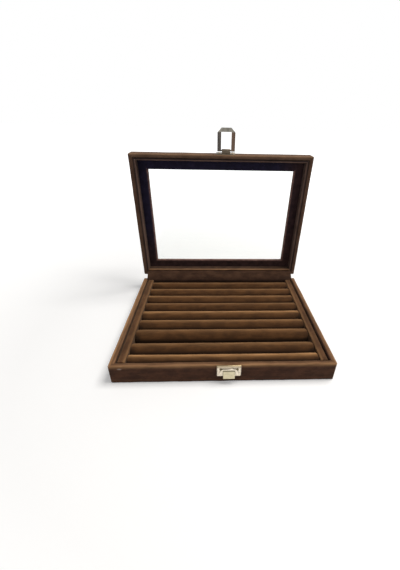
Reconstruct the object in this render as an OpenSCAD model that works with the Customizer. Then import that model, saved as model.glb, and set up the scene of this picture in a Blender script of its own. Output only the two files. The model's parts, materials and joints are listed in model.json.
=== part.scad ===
// Ring display box: a shallow velvet-covered case with padded ring rolls,
// a hinged lid that holds a glass window, and a small snap latch.
// Origin: centre of the underside. X runs to the right, Y to the back, Z up.
// The lid is drawn closed and turned about its hinge pins to stand open.

/* [Box] */
// Width of the box, left to right
box_w = 200; // [160:1:260]
// Depth of the box, front to back
box_d = 150; // [125:1:200]
// Height of the base
base_h = 20.5; // [18:0.5:36]
// Height of the lid when closed
lid_h = 13.4; // [12:0.1:22]
// Thickness of a covered wall
wall_t = 4.4; // [3.5:0.1:7]
// Radius of the covered edges
edge_r = 1.1; // [0.4:0.1:1.6]
// Radius of the upright corners
corner_r = 1.8; // [0.5:0.1:3]
// Gap between the two rims when the lid is closed
rim_gap = 0.6; // [0.4:0.1:1.5]
// Angle at which the lid stands open
open_angle = 88; // [80:1:100]

/* [Base inside] */
// Thickness of the lining glued under the base
underside_t = 0.5; // [0.3:0.1:1.5]
// Margin between the underside lining and the outer faces
underside_margin = 2; // [1:0.5:5]
// Thickness of the base floor board
floor_t = 2.5; // [1.5:0.1:4]
// Thickness of the board that carries the rolls
tray_t = 2; // [1:0.1:3]
// Gap between the tray and each side wall
tray_side_gap = 2; // [0.5:0.1:4]
// Gap between the tray and the front wall
tray_front_gap = 1.2; // [0.4:0.1:3]
// Gap between the tray and the hinge strip
tray_rear_gap = 0.5; // [0.3:0.1:3]
// Width of a tray rail
rail_w = 6.6; // [4:0.1:12]
// How far the rails lie below the rim
rail_drop = 0.3; // [0:0.1:2]

/* [Ring rolls] */
// How far the crests of the rolls lie below the rim
roll_drop = 0.6; // [0:0.1:3]
// Gap between two rolls
roll_gap = 0.3; // [0.2:0.1:1]
// Depth of the front roll, which is squeezed by the front wall
front_roll_d = 12.6; // [9:0.1:14]
// Extra width of the slot that stands open between two rolls
open_slot = 4.2; // [0:0.1:6]
// Radius of the rolled-in ends of a roll
roll_end_r = 1.6; // [0.5:0.1:3]
// How far the cover sinks in at the middle of a roll's end
roll_end_gap = 0.3; // [0.1:0.1:2]

/* [Lid inside] */
// Margin of the lid round the window
window_margin = 17; // [13:0.5:30]
// Thickness of the lid's top frame
top_t = 2; // [1.5:0.1:3]
// Thickness of the glass
glass_t = 1.4; // [1:0.1:3]
// Thickness of the inner frame under the glass
lip_t = 1.2; // [0.8:0.1:2]
// Overlap of the glass on its frame
glass_lap = 4; // [2:0.5:5]
// Room round the glass in its rebate
glass_room = 0.4; // [0.1:0.1:1]
// Thickness of a lid lining strip
lining_t = 2.3; // [1.5:0.1:4]
// Seam between a lining strip and its wall
seam = 0.3; // [0.1:0.1:1]
// How far the linings lie inside the rim
lining_drop = 0.5; // [0:0.1:2]

/* [Hinge strip] */
// Thickness of the hinge strip
strip_t = 0.4; // [0.3:0.1:0.8]
// Clearance on each face of the strip behind the lid lining
strip_room = 0.3; // [0.2:0.1:0.6]
// How far the strip is tucked behind the lid lining
strip_tuck = 5; // [2:0.5:7]
// How far the strip runs down inside the base
strip_drop = 8; // [4:0.5:12]

/* [Hinges] */
// Distance of each hinge's middle from the box's side
hinge_inset = 38; // [20:1:60]
// Width of a hinge
hinge_w = 20; // [14:1:30]
// Height of a hinge leaf on its wall
leaf_h = 8; // [6:0.5:9.5]
// Thickness of a hinge leaf
leaf_t = 0.8; // [0.5:0.1:1]
// Room between a hinge knuckle and the leaf it turns past
leaf_room = 0; // [0:0.1:1]
// Radius of the hinge pin
pin_r = 1; // [0.6:0.1:1.2]
// Outer radius of the hinge knuckles
knuckle_r = 2.2; // [1.9:0.1:2.5]
// Running clearance of a pin in its bore
pin_clear = 0.05; // [0.02:0.01:0.1]
// Gap between two knuckles
knuckle_gap = 0.25; // [0.1:0.05:0.6]

/* [Latch] */
// Distance of the latch from the middle, to the right
latch_x = 4.1; // [-40:0.1:40]
// Width of both latch plates
plate_w = 22; // [19:0.5:30]
// Height of the catch plate on the base
catch_h = 12.4; // [10:0.1:15]
// Distance of the catch plate's top below the rim
catch_drop = 0.3; // [0:0.1:2]
// How far the latch plates stand out
plate_out = 1.4; // [1:0.1:2]
// Thickness of the latch sheet
sheet_t = 0.6; // [0.4:0.05:0.8]
// Width of the bevel round a latch plate
bevel = 0.9; // [0.4:0.1:1.5]
// Height of the loop plate on the lid
loop_plate_h = 10.4; // [8:0.1:11]
// Distance of the loop plate above the lid's rim
loop_plate_lift = 1.1; // [0.5:0.1:2]
// Width of the catch tongue
tongue_w = 10.2; // [7:0.1:12]
// Thickness of the catch tongue
tongue_t = 0.45; // [0.3:0.05:0.6]
// Distance of the tongue's bend below the catch plate's top
tongue_drop = 5; // [3.5:0.1:6]
// Length of the tongue below its bend
tongue_len = 8.6; // [7:0.1:9]
// How far the tongue's crest stands out of the wall
tongue_out = 2.9; // [2.4:0.1:3.4]
// Clearance between the tongue and what it passes
tongue_room = 0.3; // [0.2:0.05:0.6]

/* [Latch loop] */
// Distance of the loop's pivot from the lid's front
loop_out = 4.1; // [3.6:0.1:5]
// Distance of the loop's pivot from the lid's rim
loop_lift = 3; // [2.6:0.1:5]
// Radius of the loop's pivot bar
bar_r = 0.8; // [0.6:0.05:1]
// Outer radius of the loop's knuckle
loop_knuckle_r = 1.5; // [1.4:0.05:1.8]
// Width of the loop's knuckle
loop_knuckle_w = 9; // [6:0.1:10]
// Thickness of the loop
loop_t = 1.2; // [0.8:0.1:1.6]
// Width of the loop's opening
loop_open_w = 10.8; // [8:0.1:13]
// Distance from the pivot to the inner edge of the loop's far bar
loop_reach = 17.9; // [14:0.1:20]
// Width of a leg of the loop
leg_w = 4; // [2:0.1:5]
// Width of the far bar of the loop
far_bar_w = 4; // [2.5:0.1:5]
// Size of the loop's cut corners
loop_cut = 4.4; // [1:0.1:5]
// Angle of the finger lip on the far bar
lip_angle = 14; // [0:1:20]

/* [Nails] */
// Radius of a nail's shank
nail_r = 0.55; // [0.4:0.05:0.8]
// Radius of a nail's head
nail_head_r = 1.15; // [0.9:0.05:1.6]
// Height of a nail's head
nail_head_h = 0.5; // [0.3:0.1:0.8]
// Length of a nail under its head
nail_len = 4.2; // [3:0.1:4.8]
// Clearance round a nail's shank
nail_clear = 0.04; // [0.02:0.01:0.1]
// Distance of the latch nails from the latch's middle
nail_x = 7.35; // [6:0.05:9]

/* [Hidden] */
$fn = 48;

velvet = [0.29, 0.19, 0.13];
velvet_light = [0.40, 0.27, 0.18];
velvet_dark = [0.17, 0.12, 0.12];
board = [0.55, 0.42, 0.28];
card = [0.45, 0.38, 0.30];
nickel = [0.80, 0.77, 0.68];
nickel_dark = [0.55, 0.54, 0.50];
glass = [0.80, 0.90, 0.92, 0.35];

front = -box_d / 2;
rear = box_d / 2;
side = box_w / 2;
in_x = side - wall_t;
in_y = rear - wall_t;
past = 1;

// Hinge line: behind the rear wall, in the middle of the gap between the rims
hinge_x = side - hinge_inset;
pin_out = leaf_t + knuckle_r + leaf_room;
pin_y = rear + pin_out;
pin_z = base_h + rim_gap / 2;
lid_z = base_h + rim_gap;

// Tray and rolls
floor_z = underside_t;
tray_z = floor_z + floor_t;
roll_z = tray_z + tray_t;
tray_x = in_x - tray_side_gap;
tray_front = -in_y + tray_front_gap;
tray_rear = in_y - strip_t - tray_rear_gap;
rail_top = base_h - rail_drop;
roll_count = 9;
rear_roll_count = 7;
roll_top = base_h - roll_drop;
roll_d = (tray_rear - tray_front - front_roll_d - open_slot) / (roll_count - 1) - roll_gap;
roll_x = tray_x - rail_w - roll_end_gap;

// Lid
wall_h = lid_h - top_t;
lip_z = wall_h - glass_t - lip_t;
window_x = side - window_margin;
window_y = rear - window_margin;
rear_seam = strip_t + 2 * strip_room;
lining_h = lip_z - lining_drop;

// Catch
catch_top = base_h - catch_drop;
catch_low = catch_top - catch_h;
tongue_z = catch_top - tongue_drop;

// Places of the nails: their distance from a plate's or leaf's edges
nail_inset = 3.6;
leaf_nail_part = 0.62;
nail_z = catch_top - nail_inset;
loop_nail_z = loop_plate_lift + loop_plate_h - nail_inset;
leaf_nail_x = hinge_w / 2 - nail_inset;
leaf_nail_z = leaf_h * leaf_nail_part;

// Lid linings are a little sharper along their edge than the covered walls
lining_edge_r = edge_r * 0.8;

// Outlines

// A rectangle from x = 0 to w and y = 0 to h, with its two upper corners rounded
module rounded_top(w, h, r) {
    square([w, h - r]);
    translate([r, 0]) square([w - 2 * r, h]);
    translate([r, h - r]) circle(r);
    translate([w - r, h - r]) circle(r);
}

// A rectangle centred on the origin with four rounded corners
module rounded_outline(w, d, r) {
    square([w - 2 * r, d], center = true);
    square([w, d - 2 * r], center = true);
    for (x = [-1, 1], y = [-1, 1]) {
        translate([x * (w / 2 - r), y * (d / 2 - r)]) circle(r);
    }
}

// Stands a profile up and runs it along X: the profile's x is Y, its y is Z
module along_x(length) {
    rotate([90, 0, 90]) translate([0, 0, -length / 2]) linear_extrude(length) children();
}

// Stands a profile up and runs it along Y: the profile's x is X, its y is Z
module along_y(length) {
    rotate([90, 0, 0]) translate([0, 0, -length / 2]) linear_extrude(length) children();
}

// Unit direction and left-hand normal of the stretch from p to q
function heading(p, q) = (q - p) / norm(q - p);
function left_of(v) = [-v[1], v[0]];

// Offset of point i of a path to its left, along the mitre of the two stretches
function mitre(path, i) =
    let (last = len(path) - 1)
    let (a = heading(path[max(i - 1, 0)], path[max(i, 1)]))
    let (b = heading(path[min(i, last - 1)], path[min(i + 1, last)]))
    let (m = left_of(a) + left_of(b))
    m / (m * left_of(b));

// A strip of thickness t that follows a path
module ribbon(path, t) {
    last = len(path) - 1;
    left = [for (i = [0:last]) path[i] + mitre(path, i) * t / 2];
    right = [for (i = [0:last]) path[last - i] - mitre(path, last - i) * t / 2];
    polygon(concat(left, right));
}

// Placing

// Turns what is drawn on the closed lid, with z = 0 at its rim, to where the lid stands open
module lid_place() {
    translate([0, pin_y, pin_z])
        rotate([-open_angle, 0, 0])
            translate([0, -pin_y, lid_z - pin_z])
                children();
}

// Footprint of one wall: a strip along the side that faces direction a, mitred at both ends
module wall_footprint(a, w, d, t) {
    half = a % 180 == 0 ? w / 2 : d / 2;
    reach = a % 180 == 0 ? d / 2 : w / 2;
    rotate(a) polygon([
        [-half, -reach], [half, -reach], [half - t, t - reach], [t - half, t - reach]
    ]);
}

// A covered wall of a tray of outer size w by d; direction a is 0 for front, 90 for right
module covered_wall(a, w, d, t, h) {
    run = a % 180 == 0 ? w : d;
    reach = a % 180 == 0 ? d / 2 : w / 2;
    intersection() {
        rotate(a) translate([0, -reach, 0]) along_x(run) rounded_top(t, h, edge_r);
        linear_extrude(h) wall_footprint(a, w, d, t);
        linear_extrude(h) rounded_outline(w, d, corner_r);
    }
}

// Nail with a domed head on z = 0 that points down
module nail() {
    dome_r = (nail_head_r * nail_head_r + nail_head_h * nail_head_h) / (2 * nail_head_h);
    rotate_extrude() {
        intersection() {
            translate([0, nail_head_h - dome_r]) circle(dome_r, $fn = 96);
            square([nail_head_r, nail_head_h]);
        }
        translate([0, -nail_len]) square([nail_r, nail_len]);
    }
}

module nail_hole() {
    translate([0, 0, -nail_len - nail_clear]) cylinder(h = nail_len + past, r = nail_r + nail_clear);
}

// Places of the nails: on the base's front, the base's rear, the lid's front and the lid's rear
module at_catch_nails(out) {
    for (s = [-1, 1]) {
        translate([latch_x + s * nail_x, front - out, nail_z]) rotate([90, 0, 0]) children();
    }
}

module at_base_hinge_nails(out) {
    for (h = [-1, 1], s = [-1, 1]) {
        translate([h * hinge_x + s * leaf_nail_x, rear + out, base_h - leaf_nail_z])
            rotate([-90, 0, 0]) children();
    }
}

module at_loop_nails(out) {
    for (s = [-1, 1]) {
        translate([latch_x + s * nail_x, front - out, loop_nail_z]) rotate([90, 0, 0]) children();
    }
}

module at_lid_hinge_nails(out) {
    for (h = [-1, 1], s = [-1, 1]) {
        translate([h * hinge_x + s * leaf_nail_x, rear + out, leaf_nail_z])
            rotate([-90, 0, 0]) children();
    }
}

// Base

module underside_lining() {
    color(velvet_dark)
        linear_extrude(underside_t)
            rounded_outline(box_w - 2 * underside_margin, box_d - 2 * underside_margin, corner_r);
}

module base_floor() {
    color(board)
        translate([-in_x, -in_y, floor_z]) cube([2 * in_x, 2 * in_y, floor_t]);
}

module base_wall(a) {
    color(velvet)
        translate([0, 0, floor_z]) covered_wall(a, box_w, box_d, wall_t, base_h - floor_z);
}

module base_front_wall() {
    color(velvet) difference() {
        base_wall(0);
        at_catch_nails(0) nail_hole();
    }
}

module base_rear_wall() {
    color(velvet) difference() {
        base_wall(180);
        at_base_hinge_nails(0) nail_hole();
    }
}

module base_left_wall() base_wall(270);

module base_right_wall() base_wall(90);

module tray_board() {
    color(card)
        translate([-tray_x, tray_front, tray_z]) cube([2 * tray_x, tray_rear - tray_front, tray_t]);
}

// A tray rail on side s: a flat covered strip with softened upper edges
module tray_rail(s) {
    color(velvet_light)
        translate([s * (tray_x - rail_w / 2) - rail_w / 2, (tray_front + tray_rear) / 2, roll_z])
            along_y(tray_rear - tray_front) rounded_top(rail_w, rail_top - roll_z, edge_r);
}

module tray_left_rail() tray_rail(-1);

module tray_right_rail() tray_rail(1);

// Rear edge of roll i, counted from 1 at the back
function roll_rear(i) =
    tray_rear - (i - 1) * (roll_d + roll_gap) - (i > rear_roll_count ? open_slot : 0);

// Foam roll i under its cover: a half-round crown, drawn in at both ends, on a straight foot
// that is flat where it is glued down
module ring_roll(i) {
    d = i == roll_count ? front_roll_d : roll_d;
    r = d / 2;
    axis_z = roll_top - r;
    flat_x = roll_x - roll_end_r;
    color(i % 2 == 0 ? velvet : velvet_light)
        translate([0, roll_rear(i) - r, 0]) {
            translate([0, 0, axis_z]) rotate([90, 0, 90]) rotate_extrude(angle = 180, $fn = 64) {
                translate([0, -flat_x]) square([r, 2 * flat_x]);
                translate([0, -roll_x]) square([r - roll_end_r, 2 * roll_x]);
                for (s = [-1, 1]) {
                    translate([r - roll_end_r, s * flat_x]) circle(roll_end_r);
                }
            }
            translate([0, 0, roll_z]) linear_extrude(axis_z - roll_z)
                rounded_outline(2 * roll_x, d, roll_end_r);
        }
}

// The strip's path from inside the base, up over the gap and behind the lid's rear lining.
// It is tight when the lid is open, and that holds the lid where it stands.
module hinge_strip() {
    base_y = in_y - strip_t / 2;
    tuck = lid_rear_inside();
    mouth = tuck + [-rim_gap, 0];
    path = [
        [base_y, base_h - strip_drop],
        [base_y, base_h - rail_drop],
        mouth,
        tuck + [strip_tuck, 0]
    ];
    color(velvet)
        along_x(2 * in_x - 2 * roll_end_gap) ribbon(path, strip_t);
}

// Where the strip enters the lid: the mouth of the seam behind the rear lining, lid open
function lid_rear_inside() =
    let (y = in_y - rear_seam / 2 - pin_y)
    let (z = lid_z - pin_z)
    [pin_y + y * cos(open_angle) + z * sin(open_angle), pin_z - y * sin(open_angle) + z * cos(open_angle)];

// Hinges

// Barrel of a hinge along X from x0 to x1, on the pin's axis
module knuckle(x0, x1, r, bore) {
    translate([x0, 0, 0]) rotate([0, 90, 0]) difference() {
        cylinder(h = x1 - x0, r = r);
        translate([0, 0, -past]) cylinder(h = x1 - x0 + 2 * past, r = bore);
    }
}

// One leaf: a plate on the rear wall with barrels between each pair of x in spans.
// The plate hangs below the pin; the lid's leaf is the same, turned upside down.
module hinge_leaf(spans) {
    edge = rim_gap / 2;
    difference() {
        union() {
            translate([-hinge_w / 2, -pin_out, -leaf_h - edge]) cube([hinge_w, leaf_t, leaf_h]);
            for (s = spans) {
                translate([s[0], -pin_out, -knuckle_r - edge])
                    cube([s[1] - s[0], pin_out - pin_r, knuckle_r + edge]);
                knuckle(s[0], s[1], knuckle_r, pin_r + pin_clear);
            }
        }
        translate([-hinge_w, 0, 0]) rotate([0, 90, 0]) cylinder(h = 2 * hinge_w, r = pin_r + pin_clear);
        for (s = [-1, 1]) {
            translate([s * leaf_nail_x, -pin_out + leaf_t, -leaf_nail_z - edge])
                rotate([-90, 0, 0]) nail_hole();
        }
    }
}

knuckle_w = hinge_w / 3;
outer_spans = [[-hinge_w / 2, -knuckle_w / 2], [knuckle_w / 2, hinge_w / 2]];
inner_spans = [[-knuckle_w / 2 + knuckle_gap, knuckle_w / 2 - knuckle_gap]];

module base_leaf(s) {
    color(nickel_dark)
        translate([s * hinge_x, pin_y, pin_z]) hinge_leaf(outer_spans);
}

module left_hinge_base_leaf() base_leaf(-1);

module right_hinge_base_leaf() base_leaf(1);

module lid_leaf(s) {
    color(nickel_dark) lid_place()
        translate([s * hinge_x, pin_y, pin_z - lid_z]) mirror([0, 0, 1]) hinge_leaf(inner_spans);
}

module left_hinge_lid_leaf() lid_leaf(-1);

module right_hinge_lid_leaf() lid_leaf(1);

module hinge_pin(s) {
    color(nickel)
        translate([s * hinge_x - hinge_w / 2, pin_y, pin_z])
            rotate([0, 90, 0]) cylinder(h = hinge_w, r = pin_r);
}

module left_hinge_pin() hinge_pin(-1);

module right_hinge_pin() hinge_pin(1);

module base_hinge_nails() {
    color(nickel) at_base_hinge_nails(leaf_t) nail();
}

module lid_hinge_nails() {
    color(nickel) lid_place() at_lid_hinge_nails(leaf_t) nail();
}

// Latch

// Cross-section of a pressed plate: span wide at the wall, out high, with bevelled edges
module pressed_section(span, out) {
    polygon([[-span / 2, 0], [span / 2, 0], [span / 2 - bevel, out], [bevel - span / 2, out]]);
}

// A pressed plate w by h, centred, whose face looks along -Y and whose back lies on y = 0
module pressed_plate(w, h, out) {
    intersection() {
        rotate([0, 0, 180]) linear_extrude(h, center = true) pressed_section(w, out);
        rotate([90, 0, 90]) linear_extrude(w, center = true) rotate(90) pressed_section(h, out);
    }
}

// A pressed sheet: the plate less its hollow back
module pressed_sheet(w, h) {
    difference() {
        pressed_plate(w, h, plate_out);
        translate([0, past, 0]) pressed_plate(w - 2 * sheet_t, h - 2 * sheet_t, plate_out - sheet_t + past);
    }
}

// The catch plate has a notch up from its lower edge, which the tongue fills
module catch_plate() {
    mid_z = catch_low + catch_h / 2;
    notch_w = tongue_w + 2 * tongue_room;
    color(nickel) difference() {
        translate([latch_x, front, mid_z]) pressed_sheet(plate_w, catch_h);
        translate([latch_x - notch_w / 2, front - plate_out - past, catch_low - past])
            cube([notch_w, plate_out + 2 * past, tongue_z - catch_low + past]);
        at_catch_nails(plate_out) nail_hole();
    }
}

module catch_nails() {
    color(nickel_dark) at_catch_nails(plate_out) nail();
}

// The tongue's path, from its root behind the plate, out through the notch and down to its end.
// x is the distance out of the wall and y the height.
root_gap = 0.1;
root_out = root_gap + tongue_t / 2;
root_len = 1.3;
crest_part = 0.72;
toe_out = 0.25;
crest_out = tongue_out - tongue_t / 2;
tongue_steps = 10;
function tongue_point(t) =
    [root_out + (crest_out - root_out) * sin(min(1, t / crest_part) * 90), tongue_z - tongue_len * t];
tongue_path = concat(
    [[root_out, tongue_z + root_len]],
    [for (i = [0:tongue_steps - 1]) tongue_point(i / tongue_steps)],
    [[crest_out + toe_out, tongue_z - tongue_len + tongue_t / 2]]
);

module catch_tongue() {
    color(nickel)
        translate([latch_x, front, 0]) mirror([0, 1, 0]) along_x(tongue_w) ribbon(tongue_path, tongue_t);
}

// The loop plate has a strap at its rim side that rises to the loop's knuckle
module loop_plate() {
    mid_z = loop_plate_lift + loop_plate_h / 2;
    strap_t = loop_knuckle_r - bar_r - pin_clear;
    color(nickel_dark) lid_place() difference() {
        union() {
            translate([latch_x, front, mid_z]) pressed_sheet(plate_w, loop_plate_h);
            translate([latch_x - loop_knuckle_w / 2, front - loop_out, loop_lift - loop_knuckle_r])
                cube([loop_knuckle_w, loop_out - plate_out + sheet_t, strap_t]);
            translate([latch_x, front - loop_out, loop_lift])
                knuckle(-loop_knuckle_w / 2, loop_knuckle_w / 2, loop_knuckle_r, bar_r + pin_clear);
        }
        at_loop_nails(plate_out) nail_hole();
    }
}

module loop_plate_nails() {
    color(nickel_dark) lid_place() at_loop_nails(plate_out) nail();
}

// Outline of the loop from its pivot end, x across and y along it
loop_half = loop_open_w / 2 + leg_w;
loop_end = loop_reach + far_bar_w;
leg_past_bar = 0.15;
leg_end = bar_r + leg_past_bar;
lip_inset = 0.6;
lip_start = loop_reach + lip_inset;
lip_overlap = loop_t / 8;

module loop_outline() {
    polygon([
        [-loop_half, -leg_end], [loop_half, -leg_end], [loop_half, loop_end - loop_cut],
        [loop_half - loop_cut, loop_end], [loop_cut - loop_half, loop_end],
        [-loop_half, loop_end - loop_cut]
    ]);
}

// The loop: two legs, a pivot bar between them and a far bar whose edge turns out as a finger lip
module latch_loop() {
    color(nickel_dark) lid_place() translate([latch_x, front - loop_out, loop_lift]) {
        mirror([0, 1, 0]) {
            difference() {
                linear_extrude(loop_t, center = true) intersection() {
                    loop_outline();
                    translate([-loop_half, -leg_end]) square([2 * loop_half, leg_end + lip_start]);
                }
                translate([-loop_open_w / 2, -leg_end - past, -loop_t])
                    cube([loop_open_w, leg_end + past + loop_reach, 2 * loop_t]);
            }
            translate([0, lip_start, 0]) rotate([lip_angle, 0, 0]) translate([0, -lip_start, 0])
                linear_extrude(loop_t, center = true) intersection() {
                    loop_outline();
                    translate([-loop_half, lip_start - lip_overlap]) square([2 * loop_half, far_bar_w]);
                }
        }
        rotate([0, 90, 0]) cylinder(h = loop_open_w + leg_w, r = bar_r, center = true);
    }
}

// Lid

module lid_wall(a) {
    difference() {
        mirror([0, 0, 1]) translate([0, 0, -wall_h]) covered_wall(a, box_w, box_d, wall_t, wall_h);
        children();
    }
}

module lid_front_wall() {
    color(velvet) lid_place() lid_wall(0) at_loop_nails(0) nail_hole();
}

module lid_rear_wall() {
    color(velvet) lid_place() lid_wall(180) at_lid_hinge_nails(0) nail_hole();
}

module lid_left_wall() {
    color(velvet) lid_place() lid_wall(270);
}

module lid_right_wall() {
    color(velvet) lid_place() lid_wall(90);
}

// Flat board w by d whose upper edges are rounded
module soft_board(w, d, t, r) {
    intersection() {
        along_x(w) translate([-d / 2, 0]) rounded_top(d, t, r);
        along_y(d) translate([-w / 2, 0]) rounded_top(w, t, r);
        linear_extrude(t) rounded_outline(w, d, corner_r);
    }
}

// Window of w by d through a board of thickness t, whose upper edge flares with radius r
module window_cut(w, d, t, r) {
    module flare(span) {
        difference() {
            translate([-span / 2 - r, -past]) square([span + 2 * r, t + 2 * past]);
            for (s = [-1, 1]) {
                translate([s * (span / 2 + r), t - r]) circle(r);
                translate([s * (span / 2 + r) - r, -2 * past]) square([2 * r, t - r + 2 * past]);
            }
        }
    }
    intersection() {
        along_x(w + 2 * r) flare(d);
        along_y(d + 2 * r) flare(w);
    }
}

module lid_top_frame() {
    color(velvet) lid_place() translate([0, 0, wall_h]) difference() {
        soft_board(box_w, box_d, top_t, edge_r);
        window_cut(2 * window_x, 2 * window_y, top_t, edge_r / 2);
    }
}

module glass_pane() {
    color(glass) lid_place()
        translate([-window_x - glass_lap, -window_y - glass_lap, lip_z + lip_t])
            cube([2 * (window_x + glass_lap), 2 * (window_y + glass_lap), glass_t]);
}

// The inner frame lies inside the walls. The glass lies in its rebate, and its lip runs to the window.
module lid_inner_frame() {
    frame_t = lip_t + glass_t;
    rebate_x = window_x + glass_lap + glass_room;
    rebate_y = window_y + glass_lap + glass_room;
    color(velvet_dark) lid_place() translate([0, 0, lip_z]) difference() {
        translate([-in_x, -in_y, 0]) cube([2 * in_x, 2 * in_y, frame_t]);
        translate([0, 0, lip_t]) mirror([0, 0, 1])
            window_cut(2 * window_x, 2 * window_y, lip_t, edge_r / 2);
        translate([-rebate_x, -rebate_y, lip_t]) cube([2 * rebate_x, 2 * rebate_y, glass_t + past]);
    }
}

// A lining strip inside a lid wall, mitred to its neighbours; the rear one leaves room for the strip
module lining(a) {
    w = 2 * (in_x - seam);
    rear_y = in_y - rear_seam;
    front_y = in_y - seam;
    d = rear_y + front_y;
    color(velvet_dark) lid_place()
        translate([0, (rear_y - front_y) / 2, lip_z]) mirror([0, 0, 1]) intersection() {
            run = a % 180 == 0 ? w : d;
            reach = a % 180 == 0 ? d / 2 : w / 2;
            rotate(a) translate([0, -reach, 0]) along_x(run) rounded_top(lining_t, lining_h, lining_edge_r);
            linear_extrude(lining_h) wall_footprint(a, w, d, lining_t);
        }
}

module lid_front_lining() lining(0);

module lid_rear_lining() lining(180);

module lid_left_lining() lining(270);

module lid_right_lining() lining(90);

underside_lining();
base_floor();
base_front_wall();
base_rear_wall();
base_left_wall();
base_right_wall();
tray_board();
tray_left_rail();
tray_right_rail();
ring_roll(1);  // ring_roll_1
ring_roll(2);  // ring_roll_2
ring_roll(3);  // ring_roll_3
ring_roll(4);  // ring_roll_4
ring_roll(5);  // ring_roll_5
ring_roll(6);  // ring_roll_6
ring_roll(7);  // ring_roll_7
ring_roll(8);  // ring_roll_8
ring_roll(9);  // ring_roll_9
hinge_strip();
left_hinge_base_leaf();
right_hinge_base_leaf();
left_hinge_pin();
right_hinge_pin();
base_hinge_nails();
catch_plate();
catch_nails();
catch_tongue();
lid_front_wall();
lid_rear_wall();
lid_left_wall();
lid_right_wall();
lid_top_frame();
glass_pane();
lid_inner_frame();
lid_front_lining();
lid_rear_lining();
lid_left_lining();
lid_right_lining();
left_hinge_lid_leaf();
right_hinge_lid_leaf();
lid_hinge_nails();
loop_plate();
loop_plate_nails();
latch_loop();
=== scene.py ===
"""Looks of the ring display box: velvet-covered boards, padded ring rolls, glass and the small latch.

Everything is in metres in the part's own frame. The lid is drawn closed, with z = 0 at its rim,
and turned about its hinge pins to where it stands open.
"""
import json
import math

import bmesh
import bpy
from mathutils import Matrix, Vector, noise


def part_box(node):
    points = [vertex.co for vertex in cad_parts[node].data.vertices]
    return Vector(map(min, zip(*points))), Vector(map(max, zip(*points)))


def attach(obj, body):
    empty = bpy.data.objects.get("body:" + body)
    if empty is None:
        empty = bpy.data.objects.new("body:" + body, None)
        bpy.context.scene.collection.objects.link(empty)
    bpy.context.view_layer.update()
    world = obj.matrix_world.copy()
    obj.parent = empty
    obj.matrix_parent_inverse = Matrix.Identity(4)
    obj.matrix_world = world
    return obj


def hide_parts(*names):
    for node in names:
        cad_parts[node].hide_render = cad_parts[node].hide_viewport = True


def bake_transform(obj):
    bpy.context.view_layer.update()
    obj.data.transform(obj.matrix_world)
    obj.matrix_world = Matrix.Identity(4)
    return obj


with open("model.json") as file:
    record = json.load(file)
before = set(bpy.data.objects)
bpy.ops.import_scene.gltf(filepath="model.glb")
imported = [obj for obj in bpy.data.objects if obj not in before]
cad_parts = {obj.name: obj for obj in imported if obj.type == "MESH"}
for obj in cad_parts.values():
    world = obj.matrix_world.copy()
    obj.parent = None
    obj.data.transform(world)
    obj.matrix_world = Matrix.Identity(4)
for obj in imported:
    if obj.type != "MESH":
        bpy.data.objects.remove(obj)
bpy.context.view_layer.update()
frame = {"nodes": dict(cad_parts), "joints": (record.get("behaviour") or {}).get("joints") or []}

nodes = frame["nodes"]
MM = 0.001


# Sizes read from the frame

# HX is half the length of the front wall. As the wall's ends are rounded, that is about 0.5 mm less than
# half the width of the box, and the inner faces of the left and right covers are set out from it
front_low, front_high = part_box("base_front_wall")
HX = front_high.x
HY = -front_low.y
WALL = front_high.y - front_low.y
BASE_LOW, RIM = front_low.z, front_high.z
# Half the width over the covers of the left and right sides, which reach 0.3 mm past their solids
COVERED = HX + 0.8 * MM
# How much thicker those two sides are than the others
SIDE_WIDE = (WALL + COVERED - HX) / WALL

hinge = next(j for j in frame["joints"] if j["name"] == "lid_hinge")
PIN = Vector(hinge["pos_m"])
RIM_GAP = 2 * (PIN.z - RIM)
OPEN = (Matrix.Translation(PIN) @ Matrix.Rotation(-math.radians(hinge["range_deg"][1]), 4, "X")
        @ Matrix.Translation(Vector((0, -PIN.y, RIM + RIM_GAP - PIN.z))))
SHUT = OPEN.inverted()


def lid_points(node):
    """A lid node's points as they lie on the closed lid, with z = 0 at the rim."""
    ob = nodes[node]
    return [SHUT @ ob.matrix_world @ v.co for v in ob.data.vertices]


def lid_span(node):
    points = lid_points(node)
    return Vector(map(min, zip(*points))), Vector(map(max, zip(*points)))


# The lid's margin round the window
WINDOW = HY - min(abs(p.y) for p in lid_points("lid_top_frame"))


# Mesh helpers

def as_is(p):
    return Vector(p)


def shut_lid(p):
    """From where a point lies on the closed lid to where it stands."""
    return OPEN @ Vector(p)


# An arc's points are this much closer together than those of a straight edge
ARC_SHARE = 0.45


def outline(corners, step, rub_and_shading):
    """Points round a convex outline of corners (x, y, radius, pale), with arcs and with edges cut up
    at step. Each point carries a value of wear and painted highlight, which falls off away from the
    pale corners over the reach given as the third argument."""
    points = []
    n = len(corners)
    for i, (x, y, r, _) in enumerate(corners):
        c = Vector((x, y))
        before = Vector(corners[i - 1][:2]) - c
        after = Vector(corners[(i + 1) % n][:2]) - c
        theta = before.angle(after)
        cut = r / math.tan(theta / 2)
        centre = c + (before.normalized() + after.normalized()).normalized() * (r / math.sin(theta / 2))
        a = c + before.normalized() * cut - centre
        sweep = a.angle_signed(c + after.normalized() * cut - centre)
        count = max(4, round(abs(sweep) * r / (step * ARC_SHARE)))
        points.append([centre + Matrix.Rotation(-sweep * k / count, 2) @ a for k in range(count + 1)])
    ring = []
    for i, arc in enumerate(points):
        ring += arc
        start, end = arc[-1], points[(i + 1) % n][0]
        count = max(1, math.ceil((end - start).length / step))
        ring += [start.lerp(end, k / count) for k in range(1, count)]
    wear_and_shading = [max(w * math.exp(-((p - Vector((x, y))).length / rub_and_shading) ** 2) for x, y, _, w in corners)
            for p in ring]
    return ring, wear_and_shading


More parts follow.
